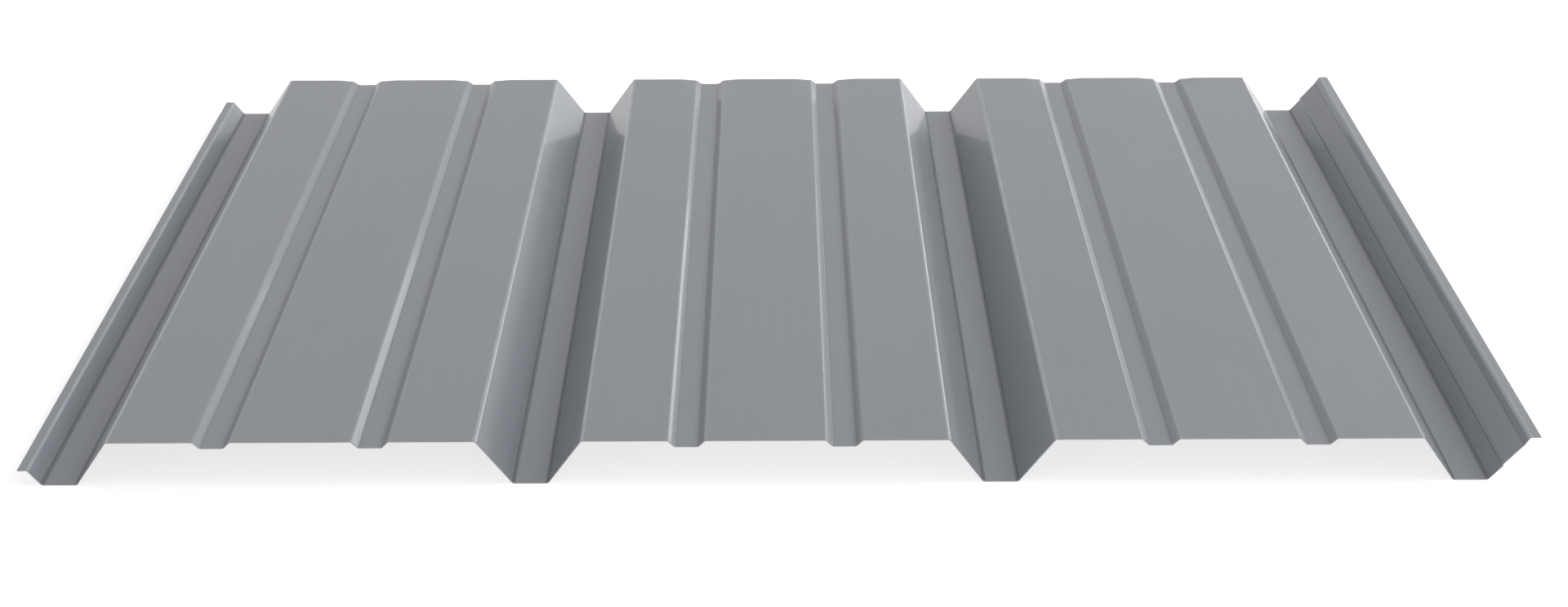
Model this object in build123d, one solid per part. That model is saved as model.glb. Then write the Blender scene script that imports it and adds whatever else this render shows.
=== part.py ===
from build123d import *
import math
import os
from collections import namedtuple

os.makedirs("parts", exist_ok=True)

# A roll-formed steel roof panel, lying with its ribs down and its reverse face up.
# X runs across the panel, Y along the ribs, Z up. The origin is under the middle of the sheet,
# level with the outer faces of the rib tops, which are what it lies on.

# Sheet
sheet_thickness = 0.6
panel_length = 609.6

# Main ribs, equally spaced across the cover width
rib_count = 4
rib_spacing = 304.8
rib_depth = 31.75
rib_top_width = 22.5
rib_base_width = 68.0
rib_bend_radius = 2.3

# Stiffeners: shallow ribs in the flat pan between each two main ribs
stiffener_count = 2
stiffener_spacing = 101.6
stiffener_depth = 4.5
stiffener_top_width = 15.0
stiffener_base_width = 24.0
stiffener_bend_radius = 1.8

# Overlapping edge, on -X: a short leg that ends in a lip
short_leg_height = 11.0
lip_width = 6.5
lip_bend_radius = 1.6

# Underlapping edge, on +X: a full leg with a small step that stops water creeping up the lap, a
# steeper strip above it, and a foot level with the pans
step_height = 10.2
step_offset = 0.9
step_run = 0.9
step_bend_radius = 0.7
steep_strip_height = 5.6
steep_strip_angle = 62.0
strip_bend_radius = 4.0
foot_width = 7.0

# Levels of the sheet's middle line, which all the widths and depths are measured on
half_thickness = sheet_thickness / 2
rib_level = half_thickness
pan_level = rib_level + rib_depth
stiffener_level = pan_level - stiffener_depth

# Places of the first and last rib that put the whole sheet's width about the origin
cover_width = rib_spacing * (rib_count - 1)
leg_run_for_rise = (rib_base_width - rib_top_width) / 2 / rib_depth
short_leg_run = short_leg_height * leg_run_for_rise
overlap_reach = rib_top_width / 2 + short_leg_run + lip_width
underlap_reach = rib_base_width / 2 + foot_width
first_rib = overlap_reach - (overlap_reach + cover_width + underlap_reach) / 2
last_rib = first_rib + cover_width

Corner = namedtuple("Corner", "x z bend_radius")


def main_rib(centre):
    """Corners of one main rib, from its left base to its right base."""
    return [
        Corner(centre - rib_base_width / 2, pan_level, rib_bend_radius),
        Corner(centre - rib_top_width / 2, rib_level, rib_bend_radius),
        Corner(centre + rib_top_width / 2, rib_level, rib_bend_radius),
        Corner(centre + rib_base_width / 2, pan_level, rib_bend_radius),
    ]


def stiffener(centre):
    """Corners of one stiffener, from its left base to its right base."""
    return [
        Corner(centre - stiffener_base_width / 2, pan_level, stiffener_bend_radius),
        Corner(centre - stiffener_top_width / 2, stiffener_level, stiffener_bend_radius),
        Corner(centre + stiffener_top_width / 2, stiffener_level, stiffener_bend_radius),
        Corner(centre + stiffener_base_width / 2, pan_level, stiffener_bend_radius),
    ]


def pan(centre):
    """Corners of the stiffeners of the pan that has this centre."""
    corners = []
    for index in range(stiffener_count):
        corners += stiffener(centre + stiffener_spacing * (index - (stiffener_count - 1) / 2))
    return corners


def overlapping_edge():
    """Corners from the tip of the lip, down the short leg, to the first rib's right base."""
    lip_bend = first_rib - rib_top_width / 2 - short_leg_run
    lip_level = rib_level + short_leg_height
    lip = [
        Corner(lip_bend - lip_width, lip_level, 0),
        Corner(lip_bend, lip_level, lip_bend_radius),
    ]
    return lip + main_rib(first_rib)[1:]


def underlapping_edge():
    """Corners from the last rib's left base, up the stepped leg, to the tip of the foot."""
    foot_bend = last_rib + rib_base_width / 2
    steep_strip_run = steep_strip_height / math.tan(math.radians(steep_strip_angle))
    leg_start = Vector(last_rib + rib_top_width / 2, rib_level)
    leg_end = Vector(foot_bend - steep_strip_run, pan_level - steep_strip_height)
    # the leg runs parallel to itself below and above the step, which moves it into the rib
    span = leg_end - leg_start
    up_the_leg = span.normalized().rotate(
        Axis.Z, -math.degrees(math.asin(step_offset / span.length))
    )
    into_the_rib = up_the_leg.rotate(Axis.Z, 90)
    below_step = leg_start + up_the_leg * (step_height / up_the_leg.Y)
    above_step = below_step + up_the_leg * step_run + into_the_rib * step_offset
    return main_rib(last_rib)[:3] + [
        Corner(below_step.X, below_step.Y, step_bend_radius),
        Corner(above_step.X, above_step.Y, step_bend_radius),
        Corner(leg_end.X, leg_end.Y, strip_bend_radius),
        Corner(foot_bend, pan_level, rib_bend_radius),
        Corner(foot_bend + foot_width, pan_level, 0),
    ]


def section_corners():
    """All corners of the sheet's middle line, from the lip on -X to the foot on +X."""
    corners = overlapping_edge()
    for index in range(rib_count - 1):
        rib = first_rib + rib_spacing * index
        corners += pan(rib + rib_spacing / 2)
        if index < rib_count - 2:
            corners += main_rib(rib + rib_spacing)
    return corners + underlapping_edge()


def face_line(corners, side):
    """Edges of one face of the sheet: its straight runs and the bends between them.

    Side is 1 for the reverse face, which is up here, and -1 for the weather face.
    """
    reach = side * half_thickness
    points = [Vector(corner.x, corner.z) for corner in corners]
    headings = [(end - start).normalized() for start, end in zip(points, points[1:])]
    cursor = points[0] + headings[0].rotate(Axis.Z, 90) * reach
    edges = []
    for corner, point, into, out in zip(corners[1:], points[1:], headings, headings[1:]):
        turn = math.atan2(into.cross(out).Z, into.dot(out))
        centre_side = math.copysign(1, turn)
        setback = corner.bend_radius * math.tan(abs(turn) / 2)
        bend_start = point - into * setback
        bend_centre = bend_start + into.rotate(Axis.Z, 90) * centre_side * corner.bend_radius
        # both faces bend about one centre, so the face on the far side has the larger radius
        face_radius = corner.bend_radius - centre_side * reach
        spoke = into.rotate(Axis.Z, -90) * centre_side * face_radius
        arc_start = bend_centre + spoke
        arc_middle = bend_centre + spoke.rotate(Axis.Z, math.degrees(turn) / 2)
        arc_end = bend_centre + spoke.rotate(Axis.Z, math.degrees(turn))
        edges.append(Line(cursor, arc_start))
        edges.append(ThreePointArc(arc_start, arc_middle, arc_end))
        cursor = arc_end
    tip = points[-1] + headings[-1].rotate(Axis.Z, 90) * reach
    edges.append(Line(cursor, tip))
    return edges


def panel_sheet():
    """The whole panel: its section drawn in the XZ plane and run along the ribs."""
    corners = section_corners()
    reverse_face = face_line(corners, 1)
    weather_face = face_line(corners, -1)
    lip_tip = Line(reverse_face[0] @ 0, weather_face[0] @ 0)
    foot_tip = Line(reverse_face[-1] @ 1, weather_face[-1] @ 1)
    outline = Wire(reverse_face + [foot_tip] + weather_face + [lip_tip])
    section = Plane.XZ * Face(outline)
    return extrude(section, amount=panel_length / 2, both=True)


sheet = panel_sheet()
sheet.label = "panel_sheet"
export_step(sheet, "parts/panel_sheet.step")
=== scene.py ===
import math

import bpy
from mathutils import Euler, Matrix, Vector


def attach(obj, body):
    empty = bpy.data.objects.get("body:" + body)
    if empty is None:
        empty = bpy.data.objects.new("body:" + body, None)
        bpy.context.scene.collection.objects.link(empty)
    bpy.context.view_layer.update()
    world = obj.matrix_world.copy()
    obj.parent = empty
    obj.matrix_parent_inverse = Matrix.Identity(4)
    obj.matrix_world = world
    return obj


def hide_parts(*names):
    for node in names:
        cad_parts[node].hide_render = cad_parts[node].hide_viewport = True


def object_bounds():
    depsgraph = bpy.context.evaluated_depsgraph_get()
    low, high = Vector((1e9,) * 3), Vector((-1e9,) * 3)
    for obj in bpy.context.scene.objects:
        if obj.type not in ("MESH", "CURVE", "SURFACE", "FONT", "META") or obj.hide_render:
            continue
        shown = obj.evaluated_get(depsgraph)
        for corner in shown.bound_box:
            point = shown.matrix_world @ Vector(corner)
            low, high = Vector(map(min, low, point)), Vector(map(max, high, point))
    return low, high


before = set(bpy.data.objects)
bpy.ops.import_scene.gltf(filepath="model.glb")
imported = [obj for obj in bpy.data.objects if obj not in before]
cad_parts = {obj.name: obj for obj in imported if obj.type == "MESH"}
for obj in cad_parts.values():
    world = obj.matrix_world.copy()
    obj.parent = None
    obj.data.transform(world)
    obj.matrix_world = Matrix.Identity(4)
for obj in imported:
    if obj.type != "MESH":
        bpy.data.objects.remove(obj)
cad_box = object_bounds()

# A roll-formed steel roof panel, lying ribs down with its reverse face up. Lengths are in metres.
MM = 0.001

# The sheet's sizes, measured on the middle of its thickness
SHEET_THICKNESS = 0.6 * MM
RIB_COUNT = 4
RIB_SPACING = 304.8 * MM
RIB_DEPTH = 31.75 * MM
RIB_TOP_WIDTH = 22.5 * MM
RIB_BASE_WIDTH = 68.0 * MM
RIB_BEND_RADIUS = 2.3 * MM
STIFFENER_COUNT = 2
STIFFENER_SPACING = 101.6 * MM
STIFFENER_DEPTH = 4.5 * MM
STIFFENER_TOP_WIDTH = 15.0 * MM
STIFFENER_BASE_WIDTH = 24.0 * MM
STIFFENER_BEND_RADIUS = 1.8 * MM

# The overlapping edge's short leg and lip
SHORT_LEG_HEIGHT = 11.0 * MM
LIP_WIDTH = 6.5 * MM
LIP_BEND_RADIUS = 1.6 * MM

# The underlapping edge's stepped leg and foot
STEP_HEIGHT = 10.2 * MM
STEP_OFFSET = 0.9 * MM
STEP_RUN = 0.9 * MM
STEP_BEND_RADIUS = 0.7 * MM
STEEP_STRIP_HEIGHT = 5.6 * MM
STEEP_STRIP_ANGLE = math.radians(62.0)
STRIP_BEND_RADIUS = 4.0 * MM
FOOT_WIDTH = 7.0 * MM

# Levels and places that follow from them
RIB_LEVEL = SHEET_THICKNESS / 2
PAN_LEVEL = RIB_LEVEL + RIB_DEPTH
LEG_RUN_FOR_RISE = (RIB_BASE_WIDTH - RIB_TOP_WIDTH) / 2 / RIB_DEPTH
SHORT_LEG_RUN = SHORT_LEG_HEIGHT * LEG_RUN_FOR_RISE
COVER_WIDTH = RIB_SPACING * (RIB_COUNT - 1)
FIRST_RIB = cad_box[0][0] + LIP_WIDTH + SHORT_LEG_RUN + RIB_TOP_WIDTH / 2
LAST_RIB = FIRST_RIB + COVER_WIDTH
MIDDLE_OF_RIBS = (FIRST_RIB + LAST_RIB) / 2
PANEL_LENGTH = cad_box[1][1] - cad_box[0][1]

# How hard the rolls work the slighter bends, where 1 is as hard as the main ribs' bends. It also
# sets how strongly each bend shows the paint's painted highlight and painted shade.
STIFFENER_WORKED = 0.25
STEP_WORKED = 0.2
STRIP_WORKED = 0.5

# How finely the surface is drawn. Neighbours on the section that are closer than the bend gap lie
# on a bend, and points of the two faces that are closer than the weld gap become one.
BEND_STEPS = 7
STRIP_WIDTH = 4.0 * MM
BEND_GAP = 0.5 * MM
WELD_GAP = 0.01 * MM
ROWS_ALONG_RIBS = 41
SHARP_EDGE_ANGLE = math.radians(40)

# The corners made in rows are put in order by their place across the panel, in metres. The lip's
# corners come before them all, and the leg's after them.
BEFORE_THE_ROWS = -10
AFTER_THE_ROWS = 10

# How the flat pans wander: shallow hollows left by the rolls, and a droop beside each stiffener
# where the far end has sprung open. The hollows keep to the pans' level, within the hollow edge,
# and are held calm for so many strips beside a bend.
HOLLOW_DEPTH = 0.15 * MM
HOLLOW_WIDTH = 60.0 * MM
HOLLOW_LENGTH = 190.0 * MM
HOLLOW_EDGE = 0.1 * MM
HOLLOWS_SEED = 4.0
CALM_STRIPS = 10
DROOP = 1.1 * MM
DROOP_WIDTH = 15.0 * MM
DROOP_LENGTH = 42.0 * MM


# Node trees


class Tree:
    """A node tree under construction, whose nodes are added and joined in one call each."""

    def __init__(self, nodes, links):
        self.nodes = nodes
        self.links = links

    def add(self, kind, inputs=None, **settings):
        """A node with its settings, and its inputs set to values or joined to other sockets."""
        node = self.nodes.new(kind)
        for name, value in settings.items():
            setattr(node, name, value)
        for key, value in (inputs or {}).items():
            self.join(value, node.inputs[key])
        return node

    def join(self, value, target):
        """Joins another socket to a node's input, or sets the input to a plain value."""
        if isinstance(value, bpy.types.NodeSocket):
            self.links.new(value, target)
        else:
            target.default_value = value

    def math(self, operation, first, second=0.0, third=0.0, clamp=False):
        node = self.add(
            "ShaderNodeMath",
            {0: first, 1: second, 2: third},
            operation=operation,
            use_clamp=clamp,
        )
        return node.outputs[0]

    def point(self, x, y, z):
        return self.add("ShaderNodeCombineXYZ", {0: x, 1: y, 2: z}).outputs[0]

    def soft_step(self, value, start, end):
        """0 up to the start and 1 from the end on, or the other way round, and smooth between."""
        node = self.add(
            "ShaderNodeMapRange",
            {"Value": value, "From Min": start, "From Max": end},
            interpolation_type="SMOOTHSTEP",
        )
        return node.outputs[0]

    def noise(self, place, size, seed, detail=2.0):
        """Noise from 0 to 1, whose spots are about as large as the size along each axis."""
        counted = self.add(
            "ShaderNodeVectorMath",
            {0: place, 1: tuple(1 / length for length in size)},
            operation="MULTIPLY",
        )
        noise = self.add(
            "ShaderNodeTexNoise",
            {"Vector": counted.outputs[0], "W": seed, "Scale": 1.0, "Detail": detail},
            noise_dimensions="4D",
        )
        return noise.outputs[0]


class GeometryTree(Tree):
    """A geometry node group with named inputs."""

    def __init__(self, name):
        self.group = bpy.data.node_groups.new(name, "GeometryNodeTree")
        super().__init__(self.group.nodes, self.group.links)
        self.given = self.nodes.new("NodeGroupInput")
        self.result = self.nodes.new("NodeGroupOutput")
        self.values = {}

    def size(self, name, value, kind="NodeSocketFloat"):
        """Adds a named input with its usual value and returns the socket that carries it."""
        item = self.group.interface.new_socket(name, in_out="INPUT", socket_type=kind)
        if value is not None:
            item.default_value = value
            self.values[item.identifier] = value
        return self.given.outputs[name]

    def finish(self, geometry):
        """Sends the geometry out of the group."""
        self.group.interface.new_socket(
            "Geometry", in_out="OUTPUT", socket_type="NodeSocketGeometry"
        )
        self.links.new(geometry, self.result.inputs[0])
        return self

    def modify(self, obj):
        """Adds the group to an object as a modifier, with its inputs set."""
        modifier = obj.modifiers.new(self.group.name, "NODES")
        modifier.node_group = self.group
        for identifier, value in self.values.items():
            modifier[identifier] = value

    def either(self, test, when_true, when_false):
        node = self.add(
            "GeometryNodeSwitch",
            {"Switch": test, "True": when_true, "False": when_false},
            input_type="FLOAT",
        )
        return node.outputs[0]

    def store(self, geometry, name, value):
        node = self.add(
            "GeometryNodeStoreNamedAttribute",
            {"Geometry": geometry, "Name": name, "Value": value},
            data_type="FLOAT",
            domain="POINT",
        )
        return node.outputs[0]

    def use(self, other, inputs):
        """A node that runs another tree's group."""
        node = self.add("GeometryNodeGroup", node_tree=other.group)
        for name, value in inputs.items():
            self.join(value, node.inputs[name])
        return node.outputs[0]


def rib_corners_group():
    """The four corners of one rib: base, top, top, base."""
    tree = GeometryTree("rib_corners")
    top_width = tree.size("Top Width", RIB_TOP_WIDTH)
    base_width = tree.size("Base Width", RIB_BASE_WIDTH)
    depth = tree.size("Depth", RIB_DEPTH)
    base_level = tree.size("Base Level", PAN_LEVEL)
    bend_radius = tree.size("Bend Radius", RIB_BEND_RADIUS)
    worked = tree.size("Worked", 1.0)
    index = tree.add("GeometryNodeInputIndex").outputs[0]
    # the corners are numbered from 0 to 3, so the middle is at 1.5 and the top ones are within 1
    from_middle = tree.math("SUBTRACT", index, 1.5)
    side = tree.math("SIGN", from_middle)
    on_top = tree.math("LESS_THAN", tree.math("ABSOLUTE", from_middle), 1.0)
    width = tree.either(on_top, top_width, base_width)
    top_level = tree.math("SUBTRACT", base_level, depth)
    level = tree.either(on_top, top_level, base_level)
    across = tree.math("MULTIPLY", side, tree.math("MULTIPLY", width, 0.5))
    corners = tree.add(
        "GeometryNodePoints", {"Count": 4, "Position": tree.point(across, 0.0, level)}
    )
    with_radius = tree.store(corners.outputs[0], "bend_radius", bend_radius)
    return tree.finish(tree.store(with_radius, "worked", worked))


def row_group():
    """Copies of some corners in a row across the panel, about a given middle."""
    tree = GeometryTree("row_across_panel")
    corners = tree.size("Corners", None, "NodeSocketGeometry")
    count = tree.size("Count", RIB_COUNT, "NodeSocketInt")
    spacing = tree.size("Spacing", RIB_SPACING)
    middle = tree.size("Middle", 0.0)
    index = tree.add("GeometryNodeInputIndex").outputs[0]
    half_count = tree.math("MULTIPLY", tree.math("SUBTRACT", count, 1), 0.5)
    place = tree.math("SUBTRACT", index, half_count)
    across = tree.math("ADD", tree.math("MULTIPLY", place, spacing), middle)
    centres = tree.add(
        "GeometryNodePoints", {"Count": count, "Position": tree.point(across, 0.0, 0.0)}
    )
    copies = tree.add(
        "GeometryNodeInstanceOnPoints", {"Points": centres.outputs[0], "Instance": corners}
    )
    realized = tree.add("GeometryNodeRealizeInstances", {0: copies.outputs[0]})
    return tree.finish(realized.outputs[0])


def listed_corners(tree, first_order, corners):
    """Corners given one by one as named inputs: place, bend radius and how hard it is worked."""
    index = tree.add("GeometryNodeInputIndex").outputs[0]
    places = tree.add("GeometryNodeIndexSwitch", {"Index": index}, data_type="VECTOR")
    radii = tree.add("GeometryNodeIndexSwitch", {"Index": index}, data_type="FLOAT")
    works = tree.add("GeometryNodeIndexSwitch", {"Index": index}, data_type="FLOAT")
    for switch in (places, radii, works):
        while len(switch.index_switch_items) < len(corners):
            switch.index_switch_items.new()
    for number, (name, place, radius, worked) in enumerate(corners, start=1):
        tree.join(tree.size(name, place, "NodeSocketVector"), places.inputs[number])
        tree.join(tree.size(name + " Radius", radius), radii.inputs[number])
        tree.join(tree.size(name + " Worked", worked), works.inputs[number])
    points = tree.add(
        "GeometryNodePoints", {"Count": len(corners), "Position": places.outputs[0]}
    )
    with_radius = tree.store(points.outputs[0], "bend_radius", radii.outputs[0])
    with_work = tree.store(with_radius, "worked", works.outputs[0])
    order = tree.math("ADD", index, first_order)
    return tree.store(with_work, "order", order)


def lip_corners():
    """The tip and the bend of the lip on the overlapping edge."""
    bend = FIRST_RIB - RIB_TOP_WIDTH / 2 - SHORT_LEG_RUN
    level = RIB_LEVEL + SHORT_LEG_HEIGHT
    return [
        ("Lip Tip", (bend - LIP_WIDTH, 0, level), 0.0, 1.0),
        ("Lip Bend", (bend, 0, level), LIP_BEND_RADIUS, 1.0),
    ]


def leg_corners():
    """The stepped leg and foot of the underlapping edge, from the step up."""
    foot_bend = LAST_RIB + RIB_BASE_WIDTH / 2
    steep_strip_run = STEEP_STRIP_HEIGHT / math.tan(STEEP_STRIP_ANGLE)
    leg_start = Vector((LAST_RIB + RIB_TOP_WIDTH / 2, RIB_LEVEL))
    leg_end = Vector((foot_bend - steep_strip_run, PAN_LEVEL - STEEP_STRIP_HEIGHT))
    # the leg runs parallel to itself below and above the step, which moves it into the rib
    span = leg_end - leg_start
    slope = math.atan2(span.y, span.x) - math.asin(STEP_OFFSET / span.length)
    up_the_leg = Vector((math.cos(slope), math.sin(slope)))
    into_the_rib = Vector((-up_the_leg.y, up_the_leg.x))
    below_step = leg_start + up_the_leg * (STEP_HEIGHT / up_the_leg.y)
    above_step = below_step + up_the_leg * STEP_RUN + into_the_rib * STEP_OFFSET
    return [
        ("Step Foot", (below_step.x, 0, below_step.y), STEP_BEND_RADIUS, STEP_WORKED),
        ("Step Head", (above_step.x, 0, above_step.y), STEP_BEND_RADIUS, STEP_WORKED),
        ("Leg Head", (leg_end.x, 0, leg_end.y), STRIP_BEND_RADIUS, STRIP_WORKED),
        ("Foot Bend", (foot_bend, 0, PAN_LEVEL), RIB_BEND_RADIUS, 1.0),
        ("Foot Tip", (foot_bend + FOOT_WIDTH, 0, PAN_LEVEL), 0.0, 1.0),
    ]


def carried(tree, name):
    """A value that each point of the sheet carries."""
    value = tree.add("GeometryNodeInputNamedAttribute", {"Name": name}, data_type="FLOAT")
    return value.outputs[0]


def way_to_neighbour(tree, steps):
    """The way from a line's point to the next one or the one before, and whether it has one."""
    position = tree.add("GeometryNodeInputPosition").outputs[0]
    neighbour = tree.add("GeometryNodeOffsetPointInCurve", {"Offset": steps})
    place = tree.add(
        "GeometryNodeFieldAtIndex",
        {"Index": neighbour.outputs["Point Index"], "Value": position},
        data_type="FLOAT_VECTOR",
        domain="POINT",
    )
    way = tree.add(
        "ShaderNodeVectorMath", {0: place.outputs[0], 1: position}, operation="SUBTRACT"
    )
    return way.outputs[0], neighbour.outputs["Is Valid Offset"]


def run_to_neighbour(tree, steps, at_tip):
    """How far a line's point is from the next one or the one before, or at_tip without one."""
    way, has_neighbour = way_to_neighbour(tree, steps)
    run = tree.add("ShaderNodeVectorMath", {0: way}, operation="LENGTH")
    return tree.either(has_neighbour, run.outputs["Value"], at_tip)


def way_of_turning(tree):
    """1 where a line turns down on its way across the panel, and -1 where it turns up."""
    onward = way_to_neighbour(tree, 1)[0]
    back = way_to_neighbour(tree, -1)[0]
    turn = tree.add("ShaderNodeVectorMath", {0: onward, 1: back}, operation="CROSS_PRODUCT")
    about_the_ribs = tree.add("ShaderNodeSeparateXYZ", {0: turn.outputs[0]}).outputs[1]
    return tree.math("SIGN", about_the_ribs)


def section_line(tree, rib_row, pan_rows, lip, leg):
    """The sheet's section as one line with rounded bends, from the lip to the foot."""
    position = tree.add("GeometryNodeInputPosition").outputs[0]
    across = tree.add("ShaderNodeSeparateXYZ", {0: position}).outputs[0]
    ribs = tree.add("GeometryNodeJoinGeometry")
    for row in (pan_rows, rib_row):
        tree.links.new(row, ribs.inputs[0])
    # the outer bases of the first and last rib give way to the short leg and the stepped leg
    from_middle = tree.math("ABSOLUTE", tree.math("SUBTRACT", across, MIDDLE_OF_RIBS))
    outer_base = tree.math("GREATER_THAN", from_middle, COVER_WIDTH / 2 + RIB_TOP_WIDTH)
    kept = tree.add(
        "GeometryNodeDeleteGeometry", {0: ribs.outputs[0], "Selection": outer_base}
    )
    ordered = tree.store(kept.outputs[0], "order", across)
    corners = tree.add("GeometryNodeJoinGeometry")
    for part in (leg, ordered, lip):
        tree.links.new(part, corners.inputs[0])
    line = tree.add(
        "GeometryNodePointsToCurves",
        {0: corners.outputs[0], "Weight": carried(tree, "order")},
    )
    straight = tree.add("GeometryNodeCurveSplineType", {0: line.outputs[0]}, spline_type="POLY")
    bent = tree.add(
        "GeometryNodeFilletCurve",
        {0: straight.outputs[0], "Count": BEND_STEPS, "Radius": carried(tree, "bend_radius")},
        mode="POLY",
    )
    # the flats are divided into strips, so that the surface can be shaded and can wander
    cuts = tree.math("FLOOR", tree.math("DIVIDE", run_to_neighbour(tree, 1, 0.0), STRIP_WIDTH))
    divided = tree.add(
        "GeometryNodeSubdivideCurve", {"Curve": bent.outputs[0], "Cuts": cuts}
    )
    # beyond a tip there is no neighbour, so the run there is taken as very long
    shortest_run = tree.math(
        "MINIMUM",
        run_to_neighbour(tree, 1, COVER_WIDTH),
        run_to_neighbour(tree, -1, COVER_WIDTH),
    )
    on_bend = tree.math("LESS_THAN", shortest_run, BEND_GAP)
    bend = tree.math("MULTIPLY", on_bend, way_of_turning(tree))
    return tree.store(divided.outputs[0], "bend", bend)


def stiffener_droop(tree, across, along, level):
    """How far each pan droops at the far end, beside its stiffeners and along their walls."""
    half_rib = RIB_SPACING / 2
    from_first_pan = tree.math("SUBTRACT", across, FIRST_RIB + half_rib)
    in_pan = tree.math("WRAP", from_first_pan, half_rib, -half_rib)
    from_stiffener = tree.math(
        "ABSOLUTE", tree.math("SUBTRACT", tree.math("ABSOLUTE", in_pan), STIFFENER_SPACING / 2)
    )
    base = STIFFENER_BASE_WIDTH / 2
    beside = tree.soft_step(from_stiffener, base + DROOP_WIDTH, base)
    up_the_wall = tree.soft_step(level, PAN_LEVEL - STIFFENER_DEPTH, PAN_LEVEL)
    near_end = tree.soft_step(along, PANEL_LENGTH / 2 - DROOP_LENGTH, PANEL_LENGTH / 2)
    share = tree.math("MULTIPLY", tree.math("MULTIPLY", beside, up_the_wall), near_end)
    return tree.math("MULTIPLY", share, tree.size("Droop", DROOP))


def hollows(tree, across, along, level):
    """How deep the rolls left the pans' flats, which the bends hold level."""
    on_bend = tree.math("ABSOLUTE", carried(tree, "bend"))
    calm = tree.add("GeometryNodeBlurAttribute", {"Value": on_bend, "Iterations": CALM_STRIPS})
    seed = tree.size("Hollows Seed", HOLLOWS_SEED)
    size = (HOLLOW_WIDTH, HOLLOW_LENGTH, HOLLOW_WIDTH)
    depth = tree.noise(tree.point(across, along, 0.0), size, seed, detail=0.0)
    on_pan = tree.soft_step(level, PAN_LEVEL - HOLLOW_EDGE, PAN_LEVEL)
    held = tree.math("MULTIPLY", on_pan, tree.math("SUBTRACT", 1.0, calm.outputs[0]))
    hollow = tree.math("MULTIPLY", depth, tree.size("Hollow Depth", HOLLOW_DEPTH))
    return tree.math("MULTIPLY", hollow, held)


def rolled_surface(tree, section, length):
    """The section run along the ribs, as one surface that faces up."""
    position = tree.add("GeometryNodeInputPosition").outputs[0]
    size = tree.add("GeometryNodeAttributeDomainSize", {0: section}, component="CURVE")
    columns = size.outputs["Point Count"]
    last_column = tree.math("SUBTRACT", columns, 1)
    grid = tree.add(
        "GeometryNodeMeshGrid",
        {
            "Size X": last_column,
            "Size Y": length,
            "Vertices X": columns,
            "Vertices Y": ROWS_ALONG_RIBS,
        },
    )
    place = tree.add("ShaderNodeSeparateXYZ", {0: position})
    half = tree.math("MULTIPLY", last_column, 0.5)
    column = tree.math("ROUND", tree.math("ADD", place.outputs[0], half))
    flat_sheet = grid.outputs[0]
    for name in ("bend", "worked"):
        there = tree.add(
            "GeometryNodeSampleIndex",
            {"Geometry": section, "Value": carried(tree, name), "Index": column},
            data_type="FLOAT",
            domain="POINT",
        )
        flat_sheet = tree.store(flat_sheet, name, there.outputs[0])
    section_there = tree.add(
        "GeometryNodeSampleIndex",
        {"Geometry": section, "Value": position, "Index": column},
        data_type="FLOAT_VECTOR",
        domain="POINT",
    )
    on_section = tree.add("ShaderNodeSeparateXYZ", {0: section_there.outputs[0]}).outputs
    # the rows stand closer together towards both ends
    turn = tree.math("DIVIDE", tree.math("MULTIPLY", place.outputs[1], math.pi), length)
    along = tree.math("MULTIPLY", tree.math("SINE", turn), tree.math("MULTIPLY", length, 0.5))
    rolled = tree.add(
        "GeometryNodeSetPosition",
        {0: flat_sheet, "Position": tree.point(on_section[0], along, on_section[2])},
    )
    rolled_place = tree.add("ShaderNodeSeparateXYZ", {0: position}).outputs
    droop = stiffener_droop(tree, *rolled_place)
    hollow = hollows(tree, *rolled_place)
    down = tree.math("MULTIPLY", tree.math("ADD", droop, hollow), -1.0)
    settled = tree.add(
        "GeometryNodeSetPosition",
        {0: rolled.outputs[0], "Offset": tree.point(0.0, 0.0, down)},
    )
    return settled.outputs[0]


def give_thickness(tree, surface, thickness):
    """Both faces and the cut edges of the sheet, and which faces are which."""
    normal = tree.add("GeometryNodeInputNormal").outputs[0]
    half_down = tree.add(
        "ShaderNodeVectorMath",
        {0: normal, "Scale": tree.math("MULTIPLY", thickness, -0.5)},
        operation="SCALE",
    )
    weather = tree.add(
        "GeometryNodeSetPosition", {0: surface, "Offset": half_down.outputs[0]}
    ).outputs[0]
    raised = tree.add(
        "GeometryNodeExtrudeMesh",
        {"Mesh": weather, "Offset Scale": thickness, "Individual": False},
        mode="FACES",
    )
    weather_out = tree.add("GeometryNodeFlipFaces", {0: weather}).outputs[0]
    shell = tree.add("GeometryNodeJoinGeometry")
    for part in (raised.outputs["Mesh"], weather_out):
        tree.links.new(part, shell.inputs[0])
    closed = tree.add(
        "GeometryNodeMergeByDistance", {0: shell.outputs[0], "Distance": WELD_GAP}
    )
    return closed.outputs[0], raised.outputs["Top"], raised.outputs["Side"]


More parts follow.
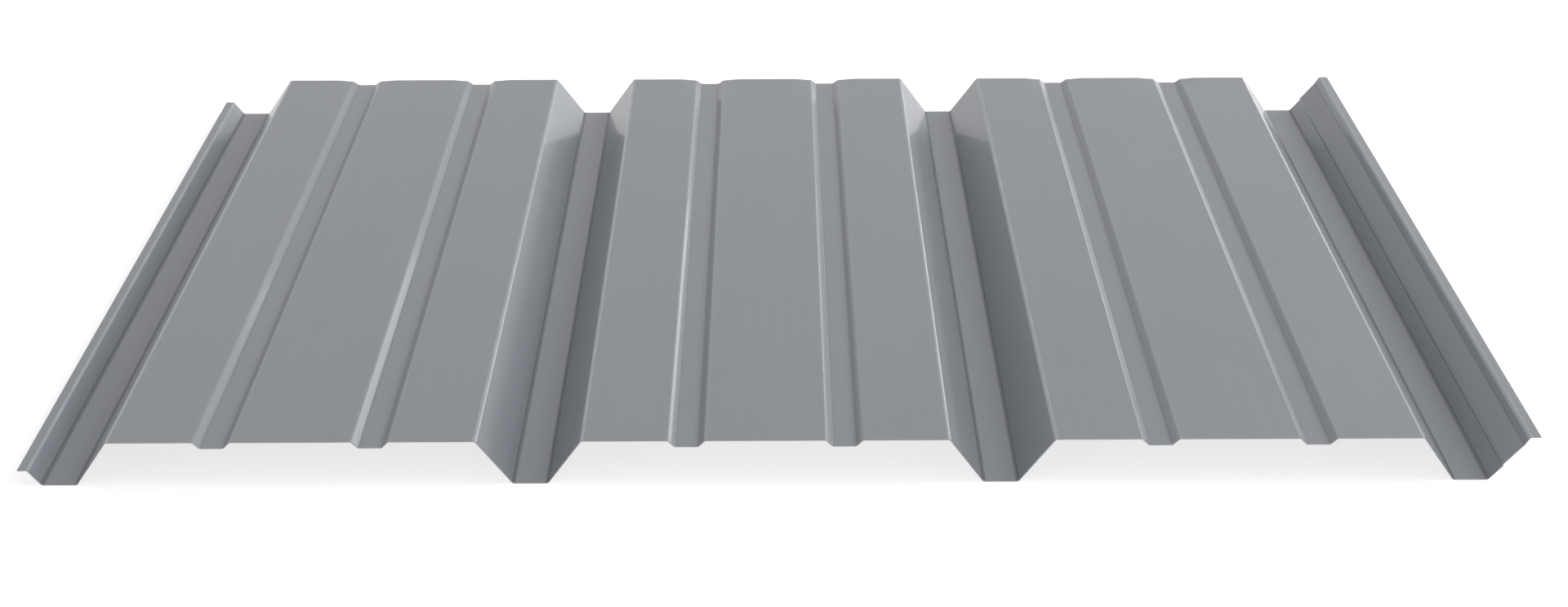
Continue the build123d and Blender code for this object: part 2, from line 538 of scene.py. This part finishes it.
def sheet_group(reverse_coat, weather_coat, cut_edge):
    """The whole sheet from its sizes: section, length, thickness and finishes."""
    tree = GeometryTree("roll_formed_sheet")
    length = tree.size("Panel Length", PANEL_LENGTH)
    thickness = tree.size("Sheet Thickness", SHEET_THICKNESS)
    rib_count = tree.size("Rib Count", RIB_COUNT, "NodeSocketInt")
    rib_spacing = tree.size("Rib Spacing", RIB_SPACING)
    middle = tree.size("Middle Of Ribs", MIDDLE_OF_RIBS)
    corner_group = rib_corners_group()
    row = row_group()
    rib = tree.use(
        corner_group,
        {
            "Top Width": tree.size("Rib Top Width", RIB_TOP_WIDTH),
            "Base Width": tree.size("Rib Base Width", RIB_BASE_WIDTH),
            "Depth": tree.size("Rib Depth", RIB_DEPTH),
            "Bend Radius": tree.size("Rib Bend Radius", RIB_BEND_RADIUS),
        },
    )
    stiffener = tree.use(
        corner_group,
        {
            "Top Width": tree.size("Stiffener Top Width", STIFFENER_TOP_WIDTH),
            "Base Width": tree.size("Stiffener Base Width", STIFFENER_BASE_WIDTH),
            "Depth": tree.size("Stiffener Depth", STIFFENER_DEPTH),
            "Bend Radius": tree.size("Stiffener Bend Radius", STIFFENER_BEND_RADIUS),
            "Worked": tree.size("Stiffener Worked", STIFFENER_WORKED),
        },
    )
    ribs = tree.use(
        row, {"Corners": rib, "Count": rib_count, "Spacing": rib_spacing, "Middle": middle}
    )
    one_pan = tree.use(
        row,
        {
            "Corners": stiffener,
            "Count": tree.size("Stiffener Count", STIFFENER_COUNT, "NodeSocketInt"),
            "Spacing": tree.size("Stiffener Spacing", STIFFENER_SPACING),
        },
    )
    pans = tree.use(
        row,
        {
            "Corners": one_pan,
            "Count": tree.math("SUBTRACT", rib_count, 1),
            "Spacing": rib_spacing,
            "Middle": middle,
        },
    )
    lip = listed_corners(tree, BEFORE_THE_ROWS, lip_corners())
    leg = listed_corners(tree, AFTER_THE_ROWS, leg_corners())
    section = section_line(tree, ribs, pans, lip, leg)
    surface = rolled_surface(tree, section, length)
    coated = tree.add("GeometryNodeSetMaterial", {0: surface, "Material": weather_coat})
    shell, is_reverse, is_edge = give_thickness(tree, coated.outputs[0], thickness)
    smooth = tree.add("GeometryNodeSetShadeSmooth", {0: shell}, domain="FACE")
    edge_angle = tree.add("GeometryNodeInputMeshEdgeAngle").outputs[0]
    is_sharp = tree.math("GREATER_THAN", edge_angle, SHARP_EDGE_ANGLE)
    sharp = tree.add(
        "GeometryNodeSetShadeSmooth",
        {0: smooth.outputs[0], "Selection": is_sharp, "Shade Smooth": False},
        domain="EDGE",
    )
    realized = tree.add("GeometryNodeRealizeInstances", {0: sharp.outputs[0]})
    finished = tree.add(
        "GeometryNodeSetMaterial",
        {0: realized.outputs[0], "Selection": is_reverse, "Material": reverse_coat},
    )
    finished = tree.add(
        "GeometryNodeSetMaterial",
        {0: finished.outputs[0], "Selection": is_edge, "Material": cut_edge},
    )
    return tree.finish(finished.outputs[0])


def evaluated_mesh(obj, name):
    """A plain mesh object of what the object's modifiers make."""
    graph = bpy.context.evaluated_depsgraph_get()
    mesh = bpy.data.meshes.new_from_object(obj.evaluated_get(graph), depsgraph=graph)
    mesh.name = name
    # the grid that the sheet starts from brings an empty material slot, which no face uses
    while None in mesh.materials[:]:
        mesh.materials.pop(index=mesh.materials[:].index(None))
    plain = bpy.data.objects.new(name, mesh)
    bpy.context.scene.collection.objects.link(plain)
    bpy.data.objects.remove(obj)
    return plain


def panel_sheet(reverse_coat, weather_coat, cut_edge):
    """The finished sheet as one plain mesh."""
    maker = bpy.data.objects.new("sheet_maker", bpy.data.meshes.new("sheet_maker"))
    bpy.context.scene.collection.objects.link(maker)
    sheet_group(reverse_coat, weather_coat, cut_edge).modify(maker)
    flat_faces = maker.modifiers.new("flat_faces", "WEIGHTED_NORMAL")
    flat_faces.keep_sharp = True
    flat_faces.weight = 100
    return evaluated_mesh(maker, "roof_panel")


# Finishes

COIL_GREY = (0.281, 0.297, 0.326)
BARE_STEEL = (0.34, 0.34, 0.35, 1)
SCORED_STEEL = (0.13, 0.13, 0.135, 1)
DULL_ZINC = (0.20, 0.205, 0.215, 1)

# The share of metal flakes in the paint, how far its tone wanders, and the clear coat over it
FLAKES = 0.06
TONE_SPREAD = 0.035
CLEAR_COAT = 0.35
CLEAR_COAT_ROUGHNESS = 0.08

# How large the paint's patterns are across, along and up the panel
CLOUDS = (80 * MM, 120 * MM, 80 * MM)
STREAKS = (2.2 * MM, 170 * MM, 2.2 * MM)
ORANGE_PEEL = (1.4 * MM, 1.4 * MM, 1.4 * MM)
RUB_MARKS = (5 * MM, 22 * MM, 5 * MM)
CHIPS = (1.3 * MM, 1.3 * MM, 1.3 * MM)
PAINT_RELIEF = 0.003 * MM

# The paint is chipped to the steel near a cut edge, as far as the chips' pattern times the reach,
# less the setback. The chip edge is how softly a chip ends.
CHIP_REACH = 1.5 * MM
CHIP_SETBACK = 0.5 * MM
CHIP_EDGE = 0.08 * MM

# How large the patterns of a cut edge's steel are: the shear's scores and the smears of zinc
SCORES = (0.16 * MM, 0.16 * MM, 1.6 * MM)
ZINC_SMEARS = (3.0 * MM, 3.0 * MM, 0.5 * MM)
SCORE_DEPTH = 0.015 * MM

# The paint is made lighter on a bend's crest, a painted highlight that also stands for the paint's
# stretching and polish, and darker in its crease, a painted shade. Both end just beside the bend,
# where its share falls to the fade.
CREST_PAINTED_HIGHLIGHT = 1.6
CREASE_PAINTED_SHADE = 0.5
BEND_FADE = 0.8


def shade_of(colour, level):
    """A paint's colour, darker below a level of 1 and lighter above it."""
    return (*[part * level for part in colour], 1)


class FinishTree(Tree):
    """A material's node tree, whose patterns lie still on the piece."""

    def __init__(self, name):
        self.material = bpy.data.materials.new(name)
        self.material.use_nodes = True
        tree = self.material.node_tree
        super().__init__(tree.nodes, tree.links)
        self.surface = self.nodes["Principled BSDF"].inputs
        self.place = self.add("ShaderNodeTexCoord").outputs["Object"]

    def blend(self, share, first, second):
        """The first colour where the share is 0, and the second where it is 1."""
        node = self.add("ShaderNodeMix", {0: share, 6: first, 7: second}, data_type="RGBA")
        return node.outputs[2]

    def shades(self, colour, spread, share):
        """A colour that is a little darker where the share is 0, and lighter where it is 1."""
        return self.blend(share, shade_of(colour, 1 - spread), shade_of(colour, 1 + spread))

    def carried(self, name):
        """A value that the piece's mesh carries."""
        return self.add("ShaderNodeAttribute", attribute_name=name).outputs["Fac"]

    def mixed(self, *parts):
        """The sum of some patterns, each given with its weight."""
        total = 0.0
        for pattern, weight in parts:
            total = self.math("MULTIPLY_ADD", pattern, weight, total)
        return total

    def relief(self, pattern, height):
        """Raises the surface by the height where the pattern is 1."""
        bump = self.add("ShaderNodeBump", {"Height": pattern, "Strength": 1.0, "Distance": height})
        self.join(bump.outputs[0], self.surface["Normal"])

    def distance_to_cut_edge(self):
        """How far a place is from the nearest end of the sheet, or tip of the lip or foot."""
        place = self.add("ShaderNodeSeparateXYZ", {0: self.place}).outputs
        to_end = self.math("SUBTRACT", PANEL_LENGTH / 2, self.math("ABSOLUTE", place[1]))
        middle = (cad_box[0][0] + cad_box[1][0]) / 2
        half_width = (cad_box[1][0] - cad_box[0][0]) / 2
        from_middle = self.math("ABSOLUTE", self.math("SUBTRACT", place[0], middle))
        return self.math("MINIMUM", to_end, self.math("SUBTRACT", half_width, from_middle))


def coil_paint(name, colour, roughness, side, seed):
    """Satin coil paint with a painted highlight and polish on the crests, a painted shade and
    dullness in the creases, and chipped at the cut edges.

    The side is 1 for the reverse face and -1 for the weather face, because a bend that is a
    crest of one face is a crease of the other.
    """
    tree = FinishTree(name)
    clouds = tree.noise(tree.place, CLOUDS, seed, detail=3.0)
    streaks = tree.noise(tree.place, STREAKS, seed + 1)
    orange_peel = tree.noise(tree.place, ORANGE_PEEL, seed + 2)
    tone = tree.soft_step(tree.mixed((clouds, 0.6), (streaks, 0.4)), 0.32, 0.68)
    bend = tree.math("MULTIPLY", tree.carried("bend"), side)
    worked = tree.carried("worked")
    # the crests carry a painted highlight and the creases a painted shade in the colour, and
    # polish and dullness in the roughness
    crest = tree.math("MULTIPLY", tree.soft_step(bend, BEND_FADE, 1.0), worked)
    crease = tree.math("MULTIPLY", tree.soft_step(bend, -BEND_FADE, -1.0), worked)
    rub_marks = tree.noise(tree.place, RUB_MARKS, seed + 3, detail=4.0)
    rubbed_highlight = tree.math("MULTIPLY", crest, tree.soft_step(rub_marks, 0.45, 0.75))
    chips = tree.noise(tree.place, CHIPS, seed + 4, detail=3.0)
    chipped_to = tree.math("MULTIPLY_ADD", chips, CHIP_REACH, -CHIP_SETBACK)
    past_chips = tree.math("SUBTRACT", tree.distance_to_cut_edge(), chipped_to)
    chipped = tree.soft_step(past_chips, CHIP_EDGE, 0.0)
    painted = tree.shades(colour, TONE_SPREAD, tone)
    # painted highlight on the crests, which also stands for the paint's stretching, broken up by
    # the rub marks
    crest_highlight_share = tree.mixed((crest, 0.6), (rubbed_highlight, 0.4))
    painted = tree.blend(crest_highlight_share, painted, shade_of(colour, CREST_PAINTED_HIGHLIGHT))
    # painted shade in the creases, where the inside corners fall dark
    painted = tree.blend(crease, painted, shade_of(colour, CREASE_PAINTED_SHADE))
    tree.join(tree.blend(chipped, painted, BARE_STEEL), tree.surface["Base Color"])
    dullness = tree.mixed(
        (clouds, 0.10), (streaks, 0.06), (crest, -0.10), (crease, 0.10), (chipped, 0.10)
    )
    # clouds and streaks add half their weights on average, so the mean roughness is the one given
    tree.join(tree.math("ADD", dullness, roughness - 0.08), tree.surface["Roughness"])
    tree.join(tree.math("MULTIPLY_ADD", chipped, 1 - FLAKES, FLAKES), tree.surface["Metallic"])
    tree.relief(tree.mixed((orange_peel, 0.7), (streaks, 0.3)), PAINT_RELIEF)
    tree.surface["Coat Weight"].default_value = CLEAR_COAT
    tree.surface["Coat Roughness"].default_value = CLEAR_COAT_ROUGHNESS
    return tree.material


def sheared_steel(name, seed):
    """Bare steel where the sheet was cut, scored by the blade and smeared with dull zinc."""
    tree = FinishTree(name)
    scores = tree.noise(tree.place, SCORES, seed)
    zinc = tree.noise(tree.place, ZINC_SMEARS, seed + 1, detail=3.0)
    smeared = tree.soft_step(zinc, 0.42, 0.62)
    steel = tree.blend(tree.soft_step(scores, 0.3, 0.7), SCORED_STEEL, BARE_STEEL)
    tree.join(tree.blend(smeared, steel, DULL_ZINC), tree.surface["Base Color"])
    tree.join(tree.mixed((scores, 0.2), (smeared, 0.15), (zinc, 0.4)), tree.surface["Roughness"])
    tree.surface["Metallic"].default_value = 1.0
    tree.relief(scores, SCORE_DEPTH)
    return tree.material


# Studio

WHITE = (1, 1, 1, 1)
FLOOR_COLOUR = (0.8, 0.8, 0.8, 1)
FLOOR_ROUGHNESS = 0.9
FLOOR_REACH = 20.0

# How bright the world is as a light, where 1 is white, and how much the floor shines by itself
# for the camera, so that it looks white and still keeps the panel's shadow
WORLD_LEVEL = 0.34
FLOOR_LIFT = 0.68


def seen_directly(tree):
    """1 where the camera sees a surface straight, in gloss or through glass, or else 0."""
    path = tree.add("ShaderNodeLightPath").outputs
    in_gloss_or_glass = tree.math("MAXIMUM", path["Is Glossy Ray"], path["Is Transmission Ray"])
    return tree.math("MAXIMUM", path["Is Camera Ray"], in_gloss_or_glass)


def floor():
    """A plain pale floor under the panel."""
    reach = FLOOR_REACH
    corners = [(-reach, -reach, 0), (reach, -reach, 0), (reach, reach, 0), (-reach, reach, 0)]
    mesh = bpy.data.meshes.new("floor")
    mesh.from_pydata(corners, [], [(0, 1, 2, 3)])
    obj = bpy.data.objects.new("floor", mesh)
    bpy.context.scene.collection.objects.link(obj)
    material = bpy.data.materials.new("pale_floor")
    material.use_nodes = True
    tree = Tree(material.node_tree.nodes, material.node_tree.links)
    surface = tree.nodes["Principled BSDF"].inputs
    surface["Base Color"].default_value = FLOOR_COLOUR
    surface["Roughness"].default_value = FLOOR_ROUGHNESS
    surface["Emission Color"].default_value = WHITE
    lift = tree.math("MULTIPLY", seen_directly(tree), FLOOR_LIFT)
    tree.join(lift, surface["Emission Strength"])
    obj.data.materials.append(material)


def white_world():
    """Even studio light, seen as white."""
    world = bpy.data.worlds.new("studio")
    bpy.context.scene.world = world
    world.use_nodes = True
    tree = Tree(world.node_tree.nodes, world.node_tree.links)
    background = tree.nodes["Background"].inputs
    background["Color"].default_value = WHITE
    strength = tree.math("MULTIPLY_ADD", seen_directly(tree), 1 - WORLD_LEVEL, WORLD_LEVEL)
    tree.join(strength, background["Strength"])


def soft_lamp(name, bearing, height, distance, width, depth, level):
    """A soft lamp that is turned to the panel's middle, with its place and size in metres.

    The bearing is measured from straight behind the panel towards its right, and the height
    above the floor, both in degrees. The level is the lamp's brightness, where 1 is white.
    """
    lamp = bpy.data.lights.new(name, "AREA")
    lamp.shape = "RECTANGLE"
    lamp.size = width
    lamp.size_y = depth
    lamp.energy = math.pi * width * depth * level
    obj = bpy.data.objects.new(name, lamp)
    turn = Euler((math.radians(height), 0, -math.radians(bearing))).to_matrix()
    obj.location = turn @ Vector((0, distance, 0))
    obj.rotation_euler = (-obj.location).to_track_quat("-Z", "Y").to_euler()
    obj.visible_camera = False
    bpy.context.scene.collection.objects.link(obj)


# The photo's camera, fitted to the corners of both ends of the sheet
CAMERA_PLACE = Vector((-0.73, -1487.86, 763.2)) * MM
CAMERA_PITCH = math.radians(28.1)
CAMERA_YAW = math.radians(0.244)
CAMERA_ROLL = math.radians(0.099)
LENS = 49.71
SENSOR_WIDTH = 36.0


def photo_camera():
    """The camera at the photo's viewing angle."""
    camera = bpy.data.cameras.new("photo_camera")
    camera.sensor_width = SENSOR_WIDTH
    camera.lens = LENS
    obj = bpy.data.objects.new("photo_camera", camera)
    obj.location = CAMERA_PLACE
    level_turn = Euler((math.pi / 2 - CAMERA_PITCH, 0, -CAMERA_YAW)).to_matrix()
    turn = level_turn @ Euler((0, 0, -CAMERA_ROLL)).to_matrix()
    obj.rotation_euler = turn.to_euler()
    bpy.context.scene.collection.objects.link(obj)
    bpy.context.scene.camera = obj


photo_camera()
floor()
white_world()
soft_lamp("key_light", bearing=80, height=38, distance=7.0, width=4.6, depth=3.6, level=4.0)
soft_lamp("low_light", bearing=56, height=8, distance=6.0, width=3.0, depth=0.8, level=4.8)
soft_lamp("back_strip", bearing=29, height=8, distance=6.0, width=0.9, depth=1.4, level=3.2)
soft_lamp("front_fill", bearing=180, height=11, distance=1.25, width=0.5, depth=0.3, level=5.0)

reverse_coat = coil_paint("reverse_coat", COIL_GREY, roughness=0.42, side=1, seed=1.0)
weather_coat = coil_paint("weather_coat", COIL_GREY, roughness=0.34, side=-1, seed=11.0)
cut_edge = sheared_steel("cut_edge", seed=21.0)
panel = panel_sheet(reverse_coat, weather_coat, cut_edge)
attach(panel, "root")
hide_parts("panel_sheet")

bpy.context.scene.view_settings.view_transform = "Standard"
